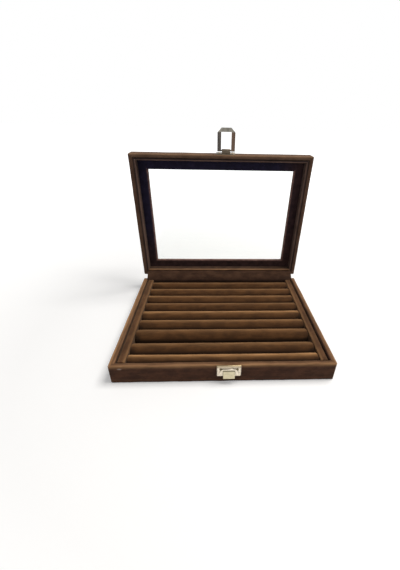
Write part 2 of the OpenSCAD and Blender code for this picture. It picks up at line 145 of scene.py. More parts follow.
def stations(half, step, fine=3 * MM):
    """Places along a run of 2 * half, closer together near both ends."""
    inner = max(2, math.ceil((half - fine) * 2 / step))
    ends = [half - fine * (1 - k / 6) for k in range(1, 7)]
    mid = [-(half - fine) + (half - fine) * 2 * k / inner for k in range(inner + 1)]
    return [-e for e in reversed(ends)] + mid + ends


def soften(x, y, hx, hy, r):
    """Moves a plan point so that the upright corner at (hx, hy) becomes an arc of radius r."""
    dx, dy = abs(x) - (hx - r), abs(y) - (hy - r)
    if dx <= 0 or dy <= 0:
        return x, y
    scale = max(dx, dy) / math.hypot(dx, dy)
    return (math.copysign(hx - r + dx * scale, x), math.copysign(hy - r + dy * scale, y))


def build(name, rings, wear_and_shading, closed=False):
    """A mesh lofted through rings of points, with a cap on both ends, or closed into a loop. Its point
    attribute takes the given values, wear and painted highlight above 0 and painted shade below 0: one
    value for each point of a ring, or a list of them for each ring."""
    n = len(rings[0])
    verts = [p for ring in rings for p in ring]
    faces = []
    last = len(rings) if closed else len(rings) - 1
    for i in range(last):
        k = (i + 1) % len(rings)
        for j in range(n):
            m = (j + 1) % n
            faces.append((i * n + j, i * n + m, k * n + m, k * n + j))
    if not closed:
        faces += [tuple(range(n)), tuple(range(len(verts) - 1, len(verts) - n - 1, -1))]
    mesh = bpy.data.meshes.new(name)
    mesh.from_pydata([tuple(v) for v in verts], [], faces)
    # The attribute holds wear and painted highlight above 0 and painted shade below 0
    attribute = mesh.attributes.new("rub_and_shading", "FLOAT", "POINT")
    flat = wear_and_shading * len(rings) if isinstance(wear_and_shading[0], float) else [w for ring in wear_and_shading for w in ring]
    attribute.data.foreach_set("value", flat)
    bm = bmesh.new()
    bm.from_mesh(mesh)
    bmesh.ops.recalc_face_normals(bm, faces=bm.faces)
    for f in bm.faces:
        f.smooth = len(f.verts) == 4
    bm.to_mesh(mesh)
    bm.free()
    ob = bpy.data.objects.new(name, mesh)
    bpy.context.scene.collection.objects.link(ob)
    return ob


def corner_fade(quarter, halves, reach, back=Matrix(), mid_y=0.0):
    """A weight that is 1 along a side of a box and falls to 0 over reach before its mitres. Halves are
    the distances of the inner faces from the middle, and back takes a point to the closed lid."""
    half = halves[quarter % 2]

    def fade(co):
        p = back @ co
        run = abs(p.y - mid_y) if quarter % 2 else abs(p.x)
        return min(1.0, max(0.0, (half - run) / reach))

    return fade


def darker(ring, wear_and_shading, face, amount, reach):
    """Paints shade on an outline near its face at x = face."""
    return [w - amount * max(0.0, 1 - abs(p.x - face) / reach) for p, w in zip(ring, wear_and_shading)]


def relief(ob, amount, size, seed, fade=None):
    """Pushes the surface in and out along its normals by smooth noise, weighed by fade."""
    mesh = ob.data
    offset = Vector((seed * 3.7, seed * 1.3, seed * 2.9))
    moves = []
    for v in mesh.vertices:
        p = v.co / size + offset
        w = fade(v.co) if fade else 1.0
        moves.append(v.co + v.normal * (noise.noise(p) * amount * w))
    for v, co in zip(mesh.vertices, moves):
        v.co = co
    mesh.update()


def dress(ob, body, material, cad):
    """Gives a piece its material and its body, and hides the CAD node that it stands for."""
    ob.data.materials.append(material)
    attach(ob, body)
    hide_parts(cad)
    return ob


def turned(x, y, quarter):
    for _ in range(quarter):
        x, y = -y, x
    return x, y


def side_rings(quarter, hx, hy, ring, place, corner, step, wide=1.0):
    """Rings along one side of a box: the outline's x runs inwards from the outer face, y is height.
    With wide, the left and right sides are that much thicker, and all mitres meet."""
    half, reach = (hx, hy) if quarter % 2 == 0 else (hy, hx)
    along, inwards = (wide, 1.0) if quarter % 2 == 0 else (1.0, wide)
    rings = []
    for s in stations(half, step):
        t = s / half
        row = []
        for p in ring:
            x, y = soften(*turned(t * (half - p.x * along), p.x * inwards - reach, quarter), hx, hy, corner)
            row.append(place((x, y, p.y)))
        rings.append(row)
    return rings


# Materials

def new_material(name):
    mat = bpy.data.materials.new(name)
    mat.use_nodes = True
    tree = mat.node_tree
    tree.nodes.clear()
    return mat, tree, tree.links


def node(tree, kind, **values):
    n = tree.nodes.new(kind)
    for key, value in values.items():
        if hasattr(n, key):
            setattr(n, key, value)
        else:
            n.inputs[key.replace("_", " ")].default_value = value
    return n


def mapped_noise(tree, coord, scale, detail, rough):
    mapping = node(tree, "ShaderNodeMapping", Scale=scale)
    tex = node(tree, "ShaderNodeTexNoise", Scale=1.0, Detail=detail, Roughness=rough)
    tree.links.new(coord, mapping.inputs["Vector"])
    tree.links.new(mapping.outputs["Vector"], tex.inputs["Vector"])
    return tex.outputs["Fac"]


def ranged(tree, value, low, high, to_low=0.0, to_high=1.0):
    n = tree.nodes.new("ShaderNodeMapRange")
    n.inputs["From Min"].default_value = low
    n.inputs["From Max"].default_value = high
    n.inputs["To Min"].default_value = to_low
    n.inputs["To Max"].default_value = to_high
    tree.links.new(value, n.inputs["Value"])
    return n.outputs["Result"]


def math_node(tree, how, a, b):
    n = tree.nodes.new("ShaderNodeMath")
    n.operation = how
    n.use_clamp = True
    for socket, value in zip(n.inputs, (a, b)):
        if isinstance(value, (int, float)):
            socket.default_value = value
        else:
            tree.links.new(value, socket)
    return n.outputs[0]


def vector_node(tree, how, a, b=(0, 0, 0), output="Vector"):
    n = tree.nodes.new("ShaderNodeVectorMath")
    n.operation = how
    tree.links.new(a, n.inputs[0])
    n.inputs[1].default_value = b
    return n.outputs[output]


def split(tree, coord):
    n = tree.nodes.new("ShaderNodeSeparateXYZ")
    tree.links.new(coord, n.inputs[0])
    return n.outputs


def bumped(tree, height, strength, distance, under=None):
    n = node(tree, "ShaderNodeBump", Strength=strength, Distance=distance)
    tree.links.new(height, n.inputs["Height"])
    if under:
        tree.links.new(under, n.inputs["Normal"])
    return n.outputs["Normal"]


def surface(tree, shader):
    out = tree.nodes.new("ShaderNodeOutputMaterial")
    tree.links.new(shader.outputs[0], out.inputs["Surface"])


def mixed(tree, factor, a, b):
    n = tree.nodes.new("ShaderNodeMix")
    n.data_type = "RGBA"
    tree.links.new(factor, n.inputs[0])
    for socket, value in ((n.inputs[6], a), (n.inputs[7], b)):
        if isinstance(value, tuple):
            socket.default_value = value
        else:
            tree.links.new(value, socket)
    return n.outputs[2]


def srgb(r, g, b):
    def lin(c):
        c /= 255
        return c / 12.92 if c <= 0.04045 else ((c + 0.055) / 1.055) ** 2.4
    return (lin(r), lin(g), lin(b), 1.0)


# How many features the noises have in a metre
PATCH, STROKE, FIBRE, SPOTS = 120, 260, 2600, 900


def velvet(name, deep, mid, bright, sheen=0.2, tint=(0.9, 0.58, 0.36, 1.0), along=(1, 1, 1),
           patchy=0.56, rise=None, aside=None, deep_high=None, mid_high=None, marks=()):
    """Short pile: patches where the nap lies another way, strokes along the piece, fine fibres, a paler
    tone where the per-point attribute is above 0, which is wear together with painted highlight, and a
    dark tone where it is below 0, which is painted shade. With rise, the tones change between two
    heights, and aside undoes that towards the right. Marks are blemishes and soft shadows: a centre,
    three radii and a tone each."""
    mat, tree, links = new_material(name)
    coord = tree.nodes.new("ShaderNodeTexCoord").outputs["Object"]
    # The tone of painted shade, used where the attribute is below 0
    shade_tone = tuple(c * 0.55 for c in deep[:3]) + (1.0,)
    if rise:
        x, _, z = split(tree, coord)
        high = ranged(tree, z, *rise)
        if aside:
            high = math_node(tree, "MULTIPLY", high, ranged(tree, x, *aside, 1.0, 0.15))
        deep, mid = mixed(tree, high, deep, deep_high), mixed(tree, high, mid, mid_high)
        shade_tone = deep
    patches = mapped_noise(tree, coord, tuple(PATCH * a ** 0.3 for a in along), 4, 0.62)
    patch = ranged(tree, patches, 0.41, 0.59)
    strokes = mapped_noise(tree, coord, tuple(STROKE * a for a in along), 3, 0.6)
    stroke = ranged(tree, strokes, 0.32, 0.68)
    fibre = mapped_noise(tree, coord, (FIBRE, FIBRE, FIBRE), 2, 0.65)
    blend = math_node(tree, "ADD", math_node(tree, "MULTIPLY", patch, patchy),
                      math_node(tree, "ADD", math_node(tree, "MULTIPLY", stroke, 0.22),
                                math_node(tree, "MULTIPLY", ranged(tree, fibre, 0.25, 0.75), 0.22)))
    colour = mixed(tree, blend, deep, mid)
    rub_and_shading = tree.nodes.new("ShaderNodeAttribute")
    rub_and_shading.attribute_name = "rub_and_shading"
    # Where the attribute is above 0: wear and painted highlight
    wear_and_shading = math_node(tree, "MULTIPLY", rub_and_shading.outputs["Fac"], ranged(tree, stroke, 0.0, 1.0, 0.45, 1.0))
    colour = mixed(tree, wear_and_shading, colour, bright)
    # Where it is below 0: painted shade
    colour = mixed(tree, ranged(tree, rub_and_shading.outputs["Fac"], 0, -1), colour, shade_tone)
    for centre, radii, tone in marks:
        away = vector_node(tree, "SUBTRACT", coord, centre)
        away = vector_node(tree, "DIVIDE", away, radii)
        reach = vector_node(tree, "LENGTH", away, output="Value")
        spot = math_node(tree, "MULTIPLY", ranged(tree, reach, 1.0, 0.3),
                         ranged(tree, fibre, 0.3, 0.6, 0.3, 0.9))
        colour = mixed(tree, spot, colour, tone)
    shader = node(tree, "ShaderNodeBsdfPrincipled", Roughness=0.92, Specular_IOR_Level=0.15,
                  Sheen_Weight=sheen, Sheen_Roughness=0.5, Sheen_Tint=tint)
    links.new(colour, shader.inputs["Base Color"])
    fine = bumped(tree, fibre, 0.55, 0.12 * MM)
    links.new(bumped(tree, stroke, 0.35, 0.5 * MM, fine), shader.inputs["Normal"])
    surface(tree, shader)
    return mat


def plain(name, dark, light, scale, rough, along=(1, 1, 1), bump=0.3, metallic=0.0, spots=None,
          rise=None, dark_high=None, light_high=None, aside=None, crease=None):
    """A hard surface: two tones mixed by drawn-out noise, uneven roughness and a fine bump.
    With rise, the tones change between two heights, and aside tints what lies lower and to the right.
    A crease is a painted line of shade: height, half width, tone."""
    mat, tree, links = new_material(name)
    coord = tree.nodes.new("ShaderNodeTexCoord").outputs["Object"]
    if rise:
        x, _, z = split(tree, coord)
        high = ranged(tree, z, *rise)
        if aside:
            *reach, tone = aside
            low_right = math_node(tree, "MULTIPLY", ranged(tree, high, 1, 0, 0, 0.7),
                                  ranged(tree, x, *reach))
            dark, light = mixed(tree, low_right, dark, tone), mixed(tree, low_right, light, tone)
        dark, light = mixed(tree, high, dark, dark_high), mixed(tree, high, light, light_high)
    grain = ranged(tree, mapped_noise(tree, coord, tuple(scale * a for a in along), 4, 0.6), 0.3, 0.7)
    colour = mixed(tree, grain, dark, light)
    # Painted shade along the crease
    if crease:
        level, half_width, tone = crease
        z = split(tree, coord)["Z"]
        above = ranged(tree, z, level - half_width, level)
        below = ranged(tree, z, level + half_width, level)
        colour = mixed(tree, math_node(tree, "MULTIPLY", above, below), colour, tone)
    if spots:
        dots = ranged(tree, mapped_noise(tree, coord, (SPOTS, SPOTS, SPOTS), 3, 0.7), 0.6, 0.72)
        colour = mixed(tree, dots, colour, spots)
    shader = node(tree, "ShaderNodeBsdfPrincipled", Metallic=metallic)
    links.new(colour, shader.inputs["Base Color"])
    links.new(ranged(tree, grain, 0, 1, *rough), shader.inputs["Roughness"])
    links.new(bumped(tree, grain, bump, 0.05 * MM), shader.inputs["Normal"])
    surface(tree, shader)
    return mat


def glass_material():
    mat, tree, links = new_material("window_glass")
    shader = node(tree, "ShaderNodeBsdfPrincipled", Base_Color=(0.97, 0.99, 0.98, 1.0),
                  Transmission_Weight=1.0, IOR=1.45)
    coord = tree.nodes.new("ShaderNodeTexCoord").outputs["Object"]
    smear = ranged(tree, mapped_noise(tree, coord, (40, 40, 90), 3, 0.6), 0.45, 0.8, 0.0, 0.05)
    links.new(smear, shader.inputs["Roughness"])
    clear = tree.nodes.new("ShaderNodeBsdfTransparent")
    path = tree.nodes.new("ShaderNodeLightPath")
    mix = tree.nodes.new("ShaderNodeMixShader")
    links.new(path.outputs["Is Shadow Ray"], mix.inputs["Fac"])
    links.new(shader.outputs[0], mix.inputs[1])
    links.new(clear.outputs[0], mix.inputs[2])
    surface(tree, mix)
    return mat


# The noise drawn out along an axis
LONG_X = (0.16, 1, 1)
LONG_Y = (1, 0.16, 1)
LONG_Z = (1, 1, 0.16)
# Deep, middle and pale tones of the velvets that are used more than once; the pale tone is wear
# together with painted highlight. The lid's tones are paler than the base walls': painted sheen
WALL_TONES = (srgb(40, 20, 16), srgb(78, 48, 34), srgb(164, 124, 87))
LID_FRONT_TONES = (srgb(59, 44, 36), srgb(99, 77, 64), srgb(144, 112, 84))
LID_SIDE_TONES = (srgb(48, 34, 28), srgb(84, 62, 51), srgb(128, 96, 76))
LINING_TONES = (srgb(44, 34, 36), srgb(74, 59, 58), srgb(124, 98, 84))
catch_low, catch_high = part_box("catch_plate")
tongue_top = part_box("catch_tongue")[1].z
loop_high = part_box("latch_loop")[1]
# Marks on the front wall: a pale scuff at its left end, and the shadow round the catch
PALE_MARK = ((-90.5 * MM, -HY, RIM - 3.3 * MM), (2.6 * MM, 2 * MM, 1.1 * MM), srgb(168, 150, 140))
CATCH_SHADOW = (((catch_low.x + catch_high.x) / 2, -HY, RIM - 8 * MM), (17.8 * MM, 2 * MM, 12.4 * MM),
                srgb(4, 2, 2))
wall_x = velvet("velvet_walls_x", *WALL_TONES, along=LONG_X, marks=(PALE_MARK, CATCH_SHADOW))
wall_y = velvet("velvet_walls_y", *WALL_TONES, along=LONG_Y)
lid_x = velvet("velvet_lid_x", *LID_FRONT_TONES, along=LONG_X)
lid_z = velvet("velvet_lid_z", *LID_SIDE_TONES, along=LONG_Z)
# The rolls' pale tone is the painted highlight along their crests, with some wear
roll_mat = velvet("velvet_rolls", srgb(52, 32, 16), srgb(96, 63, 34), srgb(186, 138, 90),
                  along=LONG_X, patchy=0.34)
rail_mat = velvet("velvet_rails", srgb(60, 38, 24), srgb(94, 64, 41), srgb(150, 112, 74), along=LONG_Y)
# Darker below the base's rim, where the strip runs down inside the rear wall: painted shade
strip_mat = velvet("velvet_strip", srgb(30, 17, 12), srgb(46, 29, 21), srgb(96, 70, 50), along=LONG_X,
                   rise=(RIM - 2.5 * MM, RIM + 4 * MM),
                   deep_high=srgb(52, 34, 25), mid_high=srgb(82, 58, 43))
lining_x = velvet("velvet_lining_x", *LINING_TONES, 0.15, along=LONG_X)
lining_z = velvet("velvet_lining_z", *LINING_TONES, 0.15, along=LONG_Z)
# A copy of the lining velvet with a much paler pale tone: painted light on the rear lining, which faces up
# on the open lid
lining_lit = velvet("velvet_lining_low", srgb(44, 32, 26), srgb(74, 54, 42), srgb(168, 126, 90), 0.15,
                    along=LONG_X)
# The inner frame's tones darken to a blue-grey higher up on the open lid, less so towards the right:
# painted shade. Its pale tone is the painted highlight on the lip by the window
inner_mat = velvet("velvet_inner_frame", srgb(34, 20, 19), srgb(62, 42, 38), srgb(160, 124, 114), 0.1,
                   tint=(0.7, 0.68, 0.9, 1.0), rise=(40 * MM, 90 * MM), aside=(62 * MM, 88 * MM),
                   deep_high=srgb(22, 19, 34), mid_high=srgb(36, 32, 54))
under_mat = velvet("felt_underside", srgb(36, 26, 22), srgb(58, 44, 38), srgb(70, 55, 46), 0.3)
board_mat = plain("floor_board", srgb(150, 118, 82), srgb(186, 152, 110), 180, (0.6, 0.8), LONG_X)
card_mat = plain("tray_card", srgb(46, 33, 24), srgb(66, 50, 38), 300, (0.8, 0.95))
# The tones turn brown towards the catch plate's top: a painted reflection of the velvet rim
nickel = plain("champagne_nickel", srgb(212, 199, 178), srgb(240, 230, 212), 700, (0.3, 0.46), LONG_X,
               bump=0.25, metallic=1.0, spots=srgb(150, 134, 104),
               rise=(catch_high.z - 2.4 * MM, catch_high.z - 0.2 * MM),
               dark_high=srgb(122, 106, 80), light_high=srgb(160, 144, 112))
# Its crease is painted shade along the tongue's bend
tongue_metal = plain("catch_tongue_metal", srgb(190, 178, 148), srgb(220, 210, 180), 700, (0.28, 0.42),
                     LONG_X, bump=0.25, metallic=1.0, spots=srgb(150, 134, 104),
                     crease=(tongue_top - 2.1 * MM, 0.9 * MM, srgb(50, 40, 26)))
# The loop's legs are dark and its top bar paler, and its right leg is tinted red-brown low down: painted
# reflections, the red-brown one of the velvet
loop_metal = plain("latch_loop_metal", srgb(56, 54, 52), srgb(88, 83, 78), 500, (0.22, 0.4),
                   LONG_Z, metallic=1.0, spots=srgb(96, 70, 58),
                   rise=(loop_high.z - 4.76 * MM, loop_high.z - 3.76 * MM),
                   aside=(loop_high.x - 4.7 * MM, loop_high.x - 4 * MM, srgb(98, 78, 64)),
                   dark_high=srgb(106, 103, 96), light_high=srgb(142, 138, 128))
plate_metal = plain("loop_plate_metal", srgb(68, 60, 52), srgb(108, 98, 84), 500, (0.25, 0.42),
                    LONG_X, metallic=1.0, spots=srgb(60, 46, 36))
nail_metal = plain("nail_metal", srgb(84, 74, 54), srgb(128, 116, 90), 600, (0.3, 0.5),
                   metallic=1.0, spots=srgb(96, 84, 62))
hinge_metal = plain("hinge_metal", srgb(142, 136, 120), srgb(186, 180, 164), 500, (0.28, 0.5), LONG_X,
                    metallic=1.0, spots=srgb(96, 86, 70))
glass_mat = glass_material()


# Base

# Pale rounded edges, strongest on the rim's outer edge: wear and painted highlight
wall_ring, wall_wear_and_shading = outline([
    (0, BASE_LOW, 0.6 * MM, 0.25), (WALL, BASE_LOW, 0.3 * MM, 0.0),
    (WALL, RIM, 1.2 * MM, 0.45), (0, RIM, 1.1 * MM, 1.0)], 1.5 * MM, 2.2 * MM)
INNER_FACE = WALL - 0.3 * MM  # what lies further in than this is the inner face
RIM_BAND = 1.5 * MM  # depth of the rim's band, where the right wall's rim takes painted shade and the left wall's rim a stronger painted highlight
INNER_DARK = 1.6 * MM  # the painted shade on the inner face is full this far below the rim
FOOT_DARK = 1.4 * MM  # height of the painted shade along the foot


def base_wear_and_shading(name):
    """The values of a wall's outline: its rounded edges are pale, which is wear together with painted
    highlight, and painted shade darkens its inner face and its foot. On the right wall the inner face
    has less painted shade and the rim more towards its inner edge; the left wall's rim has a stronger
    painted highlight."""
    values = []
    for p, w in zip(wall_ring, wall_wear_and_shading):
        depth = min(1.0, (RIM - p.y) / INNER_DARK)
        at_rim = p.y > RIM - RIM_BAND
        if p.x >= INNER_FACE:
            w -= depth
        w -= 1.1 * max(0.0, 1 - (p.y - BASE_LOW) / FOOT_DARK)
        if name == "right" and at_rim:
            w -= 0.9 * max(0.0, p.x / WALL - 0.72) / 0.28
        elif name == "right" and p.x > WALL / 2:
            w += 0.45 * depth
        elif name == "left" and at_rim:
            w *= 1.5
        values.append(w)
    return values


for quarter, name in enumerate(("front", "right", "rear", "left")):
    cad = f"base_{name}_wall"
    rings = side_rings(quarter, COVERED, HY, wall_ring, as_is, 1.5 * MM, 2.6 * MM, SIDE_WIDE)
    ob = build(f"velvet_{cad}", rings, base_wear_and_shading(name))
    fade = corner_fade(quarter, (HX - WALL, HY - WALL), 6 * MM)
    relief(ob, 0.22 * MM, 14 * MM, quarter + 1, fade)
    relief(ob, 0.10 * MM, 3.5 * MM, quarter + 11, fade)
    dress(ob, "base", wall_x if quarter % 2 == 0 else wall_y, cad)

for side in ("left", "right"):
    cad = f"tray_{side}_rail"
    low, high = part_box(cad)
    wide = high.x - low.x
    # The pale inner top edge is painted highlight with some wear
    ring, wear_and_shading = outline([
        (0, low.z, 0.2 * MM, 0.0), (wide, low.z, 0.2 * MM, 0.0),
        (wide, high.z, 1.2 * MM, 0.7), (0, high.z, 1.2 * MM, 0.1)], 1.1 * MM, 1.5 * MM)
    # The sides darken below the top: painted shade
    wear_and_shading = [w - min(0.8, max(0.0, (high.z - 1.0 * MM - p.y) / (1.6 * MM))) for p, w in zip(ring, wear_and_shading)]
    if side == "right":
        ring = [Vector((wide - p.x, p.y)) for p in reversed(ring)]
        wear_and_shading = list(reversed(wear_and_shading))
    domed = [0.12 * MM * math.sin(math.pi * min(1, max(0, p.x / wide))) for p in ring]
    rings = []
    for s in stations((high.y - low.y) / 2, 2.2 * MM):
        y = s + (low.y + high.y) / 2
        rings.append([Vector((low.x + p.x, y, p.y + dome)) for p, dome in zip(ring, domed)])
    # The rail's cover runs on to the front wall
    rings[0] = [v - Vector((0, 0.9 * MM, 0)) for v in rings[0]]
    ob = build(f"velvet_{cad}", rings, wear_and_shading)
    relief(ob, 0.16 * MM, 9 * MM, 31 if side == "left" else 37)
    dress(ob, "base", rail_mat, cad)


def inflate(pieces, free_above, frames, cap):
    """Blows each closed cover up by a cloth simulation. Its foot is held, no point moves by more than
    cap, and less of each move is taken over along the roll than across it."""
    scene = bpy.context.scene
    cloths = []
    for ob in pieces:
        held = ob.vertex_groups.new(name="held")
        held.add([v.index for v in ob.data.vertices if v.co.z < free_above], 1.0, "REPLACE")
        cloth = ob.modifiers.new("cover", "CLOTH")
        cloth.settings.quality = 6
        cloth.settings.mass = 0.15
        cloth.settings.use_pressure = True
        cloth.settings.uniform_pressure_force = 4
        cloth.settings.vertex_group_mass = held.name
        cloth.settings.effector_weights.gravity = 0
        cloth.collision_settings.use_collision = False
        cloth.point_cache.frame_start, cloth.point_cache.frame_end = 1, frames
        cloths.append(cloth)
    for frame_number in range(1, frames + 1):
        scene.frame_set(frame_number)
    depsgraph = bpy.context.evaluated_depsgraph_get()
    shapes = [[v.co.copy() for v in ob.evaluated_get(depsgraph).data.vertices] for ob in pieces]
    for ob, cloth, shape in zip(pieces, cloths, shapes):
        ob.modifiers.remove(cloth)
        ob.vertex_groups.clear()
        for v, co in zip(ob.data.vertices, shape):
            move = (co - v.co) * Vector((0.3, 1, 1))
            v.co += move * min(1.0, cap / max(move.length, 1e-9))
        ob.data.update()
    scene.frame_set(1)


# How strong the painted highlight along the rear of each roll's crest is, with some wear in it, from the
# rear roll to the front one
CREST_RUB_AND_HIGHLIGHT = (0.4, 0.42, 0.5, 0.3, 0.85, 0.45, 0.38, 0.36, 0.95)
# Where round the crown that highlight is strongest, as an angle from the rear, and how far it spreads
PALE_AT, PALE_SPREAD = 1.15, 0.52
# How far below its crest painted shade starts to darken a roll's front face, and over what depth it does
FRONT_DARK = {9: (1.0 * MM, 1.3 * MM), 8: (1.4 * MM, 2.6 * MM), 7: (3.6 * MM, 3.2 * MM)}
OTHER_DARK = (2.2 * MM, 2.6 * MM)
# The rolls whose left or right end lies in a deep pocket of shadow
DEEP_LEFT, DEEP_RIGHT = (6, 7, 8), (5, 8)
DRAWN_IN = 1.5 * MM  # length of a roll's drawn-in end
END_SHADE = 6 * MM  # length over which painted shade darkens its end


def roll_outline(r, foot, axis):
    """A roll's outline in y and z: straight foot, half-round crown with its axis at z = axis, floor."""
    upright = [(-r, foot + (axis - foot) * share) for share in (0, 0.33, 0.66)]
    crown = [(-r * math.cos(a), axis + r * math.sin(a)) for a in [math.pi * k / 22 for k in range(23)]]
    floor = [(r * (1 - k / 4), foot) for k in range(1, 8)]
    return upright + crown + [(-y, z) for y, z in reversed(upright)] + floor


def roll(i):
    """A foam roll in its cover: round crown, straight foot, ends drawn in and tucked under, with a
    painted highlight along its crest and painted shade on its front face and at its ends.
    """
    low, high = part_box(f"ring_roll_{i}")
    r, mid_y = (high.y - low.y) / 2, (high.y + low.y) / 2
    axis = high.z - r
    section = roll_outline(r, low.z, axis)
    length = high.x + 0.15 * MM
    dark_from, dark_over = FRONT_DARK.get(i, OTHER_DARK)
    # The cover starts slack, as the simulation then fills it
    slack = 0.95
    rings, wear_and_shading = [], []
    for x in stations(length, 1.9 * MM, 2.4 * MM):
        d = max(0.0, abs(x) - (length - DRAWN_IN)) / DRAWN_IN
        pinch = 1 - math.sqrt(max(0.0, 1 - (d * 0.97) ** 2))
        narrow, drop = 1 - 0.14 * pinch, 1 - 0.12 * pinch
        shadow = max(0.0, abs(x) - (length - END_SHADE)) / END_SHADE
        if i in (DEEP_LEFT if x < 0 else DEEP_RIGHT):
            shadow *= 2.4
        row, row_shading = [], []
        for y, z in section:
            angle = math.atan2(z - axis, y)
            gather = 0.16 * MM * d * math.sin(angle * 9 + i * 1.7)
            wave = 0.10 * MM * noise.noise(Vector((x * 60, i * 5.1, angle * 0.8)))
            dent = 0.12 * MM * noise.noise(Vector((x * 22, i * 9.7, 0)))
            lift = max(0.0, math.sin(angle)) if z > axis else 0.0
            height = min(1, max(0, (z - low.z) / (high.z - low.z)))
            bulge = math.copysign(min(0.08 * MM, abs(y)), y) * math.sin(math.pi * height) * (1 - d)
            y2 = y * narrow * slack + bulge
            z2 = low.z + (z - low.z) * drop * (slack + 1) / 2
            if z > low.z + 0.2 * MM:
                y2 += (wave + gather) * (y / r)
                z2 += (wave + dent + gather) * lift
            row.append(Vector((x, mid_y + y2, z2)))
            # Painted shade: in the pockets at the ends and down the front face
            dark = shadow * max(0.0, (high.z - z) / (4 * MM))
            if y < 0:
                dark += max(0.0, (high.z - dark_from - z) / dark_over)
            # Painted highlight along the crest, with some wear
            pale = CREST_RUB_AND_HIGHLIGHT[i - 1] * math.exp(-((angle - PALE_AT) / PALE_SPREAD) ** 2) * (1 - 0.5 * d)
            row_shading.append(pale - min(1.0, dark))
        rings.append(row)
        wear_and_shading.append(row_shading)
    return build(f"padded_ring_roll_{i}", rings, wear_and_shading)


rolls = [roll(i) for i in range(1, 10)]
inflate(rolls, free_above=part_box("ring_roll_1")[0].z + 2.5 * MM, frames=16, cap=0.45 * MM)
for i, ob in enumerate(rolls, 1):
    dress(ob, "base", roll_mat, f"ring_roll_{i}")


def plate_rings(low, high, radius, count):
    """Rings across a thin plate, along Y, with rounded corners in plan."""
    rings = []
    for k in range(count + 1):
        y = low.y + (high.y - low.y) * k / count
        inset = max(0.0, radius - min(y - low.y, high.y - y))
        cut = radius - math.sqrt(max(0.0, radius ** 2 - inset ** 2))
        x = high.x - cut
        row = [Vector((-x + 2 * x * j / 24, y, low.z)) for j in range(25)]
        row += [Vector((x - 2 * x * j / 24, y, high.z)) for j in range(25)]
        rings.append(row)
    return rings


# Underside lining: one thin sheet, glued flat
low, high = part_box("underside_lining")
rings = plate_rings(low, high, 1.8 * MM, 40)
ob = build("felt_underside", rings, [0.0] * len(rings[0]))
dress(ob, "base", under_mat, "underside_lining")


# Lid

lid_wall_h = lid_span("lid_front_wall")[1].z
# Pale rim edges: wear and painted highlight
lid_ring, lid_wear_and_shading = outline([
    (0, 0, 1.25 * MM, 0.9), (WALL, 0, 1.1 * MM, 0.5),
    (WALL, lid_wall_h, 0.1 * MM, 0.0), (0, lid_wall_h, 0.25 * MM, 0.0)], 1.4 * MM, 1.8 * MM)
# Painted shade on the inner face, by the seam with the lining
lid_wear_and_shading = darker(lid_ring, lid_wear_and_shading, WALL, 1.5, 1.2 * MM)
for quarter, name in enumerate(("front", "right", "rear", "left")):
    cad = f"lid_{name}_wall"
    rings = side_rings(quarter, COVERED, HY, lid_ring, shut_lid, 1.5 * MM, 2.6 * MM, SIDE_WIDE)
    # The left and right walls also take painted shade along their outer face
    wear_and_shading = darker(lid_ring, lid_wear_and_shading, 0, 1.5, 1.1 * MM) if name in ("left", "right") else lid_wear_and_shading
    ob = build(f"velvet_{cad}", rings, wear_and_shading)
    relief(ob, 0.20 * MM, 15 * MM, quarter + 51, corner_fade(quarter, (HX - WALL, HY - WALL), 6 * MM, SHUT))
    dress(ob, "lid", lid_x if quarter % 2 == 0 else lid_z, cad)

# Linings: thin covered strips inside the walls
left_low, left_high = lid_span("lid_left_lining")
front_low, front_high = lid_span("lid_front_lining")
rear_high = lid_span("lid_rear_lining")[1]
LINING_HX = front_high.x
mid_y, LINING_HY = (front_low.y + rear_high.y) / 2, (rear_high.y - front_low.y) / 2
LINING = left_high.x - left_low.x
# The lining's pale lower inner edge is wear and painted highlight
ring, wear_and_shading = outline([
    (0, front_low.z, 0.8 * MM, 0.0), (LINING, front_low.z, 1.0 * MM, 0.9),
    (LINING, front_high.z, 0.1 * MM, 0.0), (0, front_high.z, 0.1 * MM, 0.0)], 1.0 * MM, 1.3 * MM)
# Painted shade along the face that lies against the wall
wear_and_shading = darker(ring, wear_and_shading, 0, 1.2, 0.9 * MM)


def lining_place(p):
    return OPEN @ Vector((p[0], p[1] + mid_y, p[2]))


for quarter, name in enumerate(("front", "right", "rear", "left")):
    cad = f"lid_{name}_lining"
    rings = side_rings(quarter, LINING_HX, LINING_HY, ring, lining_place, 0.3 * MM, 2.4 * MM)
    ob = build(f"velvet_{cad}", rings, wear_and_shading)
    inner = (LINING_HX - LINING, LINING_HY - LINING)
    relief(ob, 0.13 * MM, 12 * MM, quarter + 71, corner_fade(quarter, inner, 5 * MM, SHUT, mid_y))
    # The rear lining takes the lit copy of the lining velvet
    dress(ob, "lid", (lining_x, lining_z, lining_lit, lining_z)[quarter], cad)


def frame_rings(hx, hy, ring, corner, wide=1.0):
    """Rings all the way round a frame of the lid, as a list for each side."""
    return [side_rings(quarter, hx, hy, ring, shut_lid, corner, 3 * MM, wide)[:-1] for quarter in range(4)]


# Inner frame. Its rebate makes the outline concave, so it is written out from the outer face inwards:
# along the lip, round its edge and back through the rebate, in which the glass lies. As the lip is set
# out from HX too, it ends 0.5 mm nearer the middle of the window than its solid
low, high = lid_span("lid_inner_frame")
LIP = WINDOW - (HX - high.x)
LIP_ROUND = 0.5 * MM
REBATE = LIP - 4.4 * MM  # less the lap of the glass and the room beside it
seat = lid_span("glass_pane")[0].z - 0.02 * MM
edge = [Vector((0, low.z))]
edge += [Vector((LIP * k / 12 * 0.95, low.z)) for k in range(1, 13)]
edge += [Vector((LIP - LIP_ROUND + LIP_ROUND * math.sin(a), low.z + LIP_ROUND - LIP_ROUND * math.cos(a)))
         for a in [math.pi / 2 * k / 5 for k in range(1, 6)]]
edge += [Vector((LIP, seat)), Vector((REBATE, seat)), Vector((REBATE, high.z)), Vector((0, high.z))]
lip_edge = Vector((LIP, low.z))
